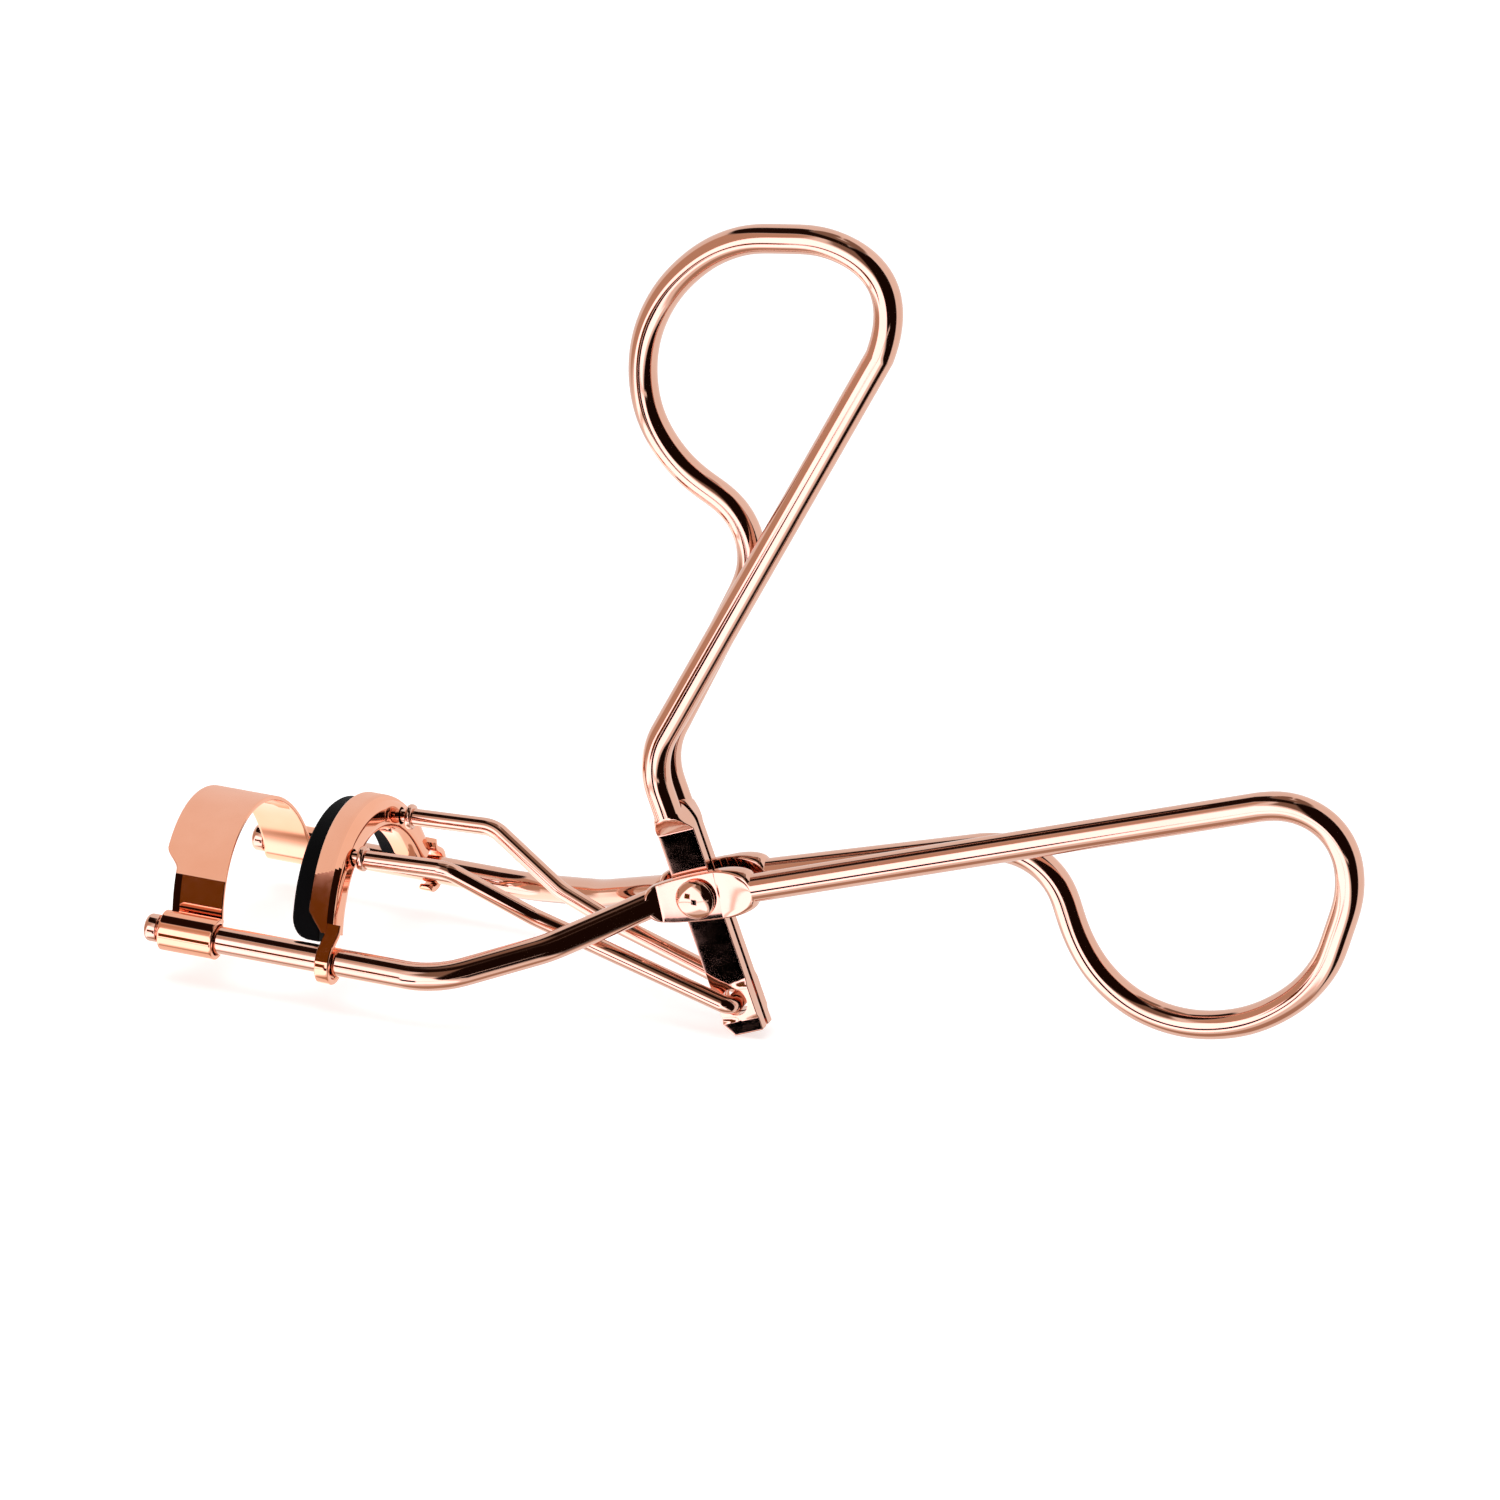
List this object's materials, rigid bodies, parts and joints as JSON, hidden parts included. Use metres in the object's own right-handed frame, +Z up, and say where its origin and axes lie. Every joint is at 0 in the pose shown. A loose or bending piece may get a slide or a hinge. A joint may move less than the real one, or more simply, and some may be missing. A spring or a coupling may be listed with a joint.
{
  "type": "eyelash curler",
  "caption": "A scissor-action eyelash curler in polished rose-gold plate, with a fixed arched jaw and a black silicone pad on a jaw that slides along the guide rods as the handles close.",
  "frame": {"origin": "centre of the bounding box's bottom face", "axes": "+X along the guide rods from the jaws to the finger loops, +Y across the rods, +Z up"},
  "size_m": [0.102, 0.027, 0.0707],
  "materials": {
    "rose_gold_wire": "polished rose-gold plate on round steel wire",
    "rose_gold_sheet": "polished rose-gold plate on bent steel sheet",
    "black_silicone": "satin moulded silicone"
  },
  "bodies": {
    "frame": {"frame_wire": "rose_gold_wire", "pivot_rivet": "rose_gold_wire", "upper_jaw": "rose_gold_sheet"},
    "handle": {"handle_wire": "rose_gold_wire"},
    "slider": {"lower_jaw": "rose_gold_sheet", "lash_pad": "black_silicone"},
    "link": {"push_link": "rose_gold_wire"}
  },
  "joints": [
    {"name": "handle_pivot", "type": "hinge", "parent": "frame", "child": "handle", "pos_m": [-0.00483, 0, 0.01224], "axis": [0, 1, 0], "range_deg": [-4, 39]},
    {"name": "jaw_slide", "type": "slide", "parent": "frame", "child": "slider", "axis": [-1, 0, 0], "range_m": [-0.0007, 0.0065]},
    {"name": "link_pivot", "type": "hinge", "parent": "slider", "child": "link", "pos_m": [-0.03452, 0, 0.01156], "axis": [0, 1, 0], "range_deg": [-0.1, 0.7]}
  ],
  "couplings": [
    {"joint": "jaw_slide", "follows": "handle_pivot", "m_per_rad": 0.0094312},
    {"joint": "link_pivot", "follows": "handle_pivot", "ratio": 0.016}
  ]
}
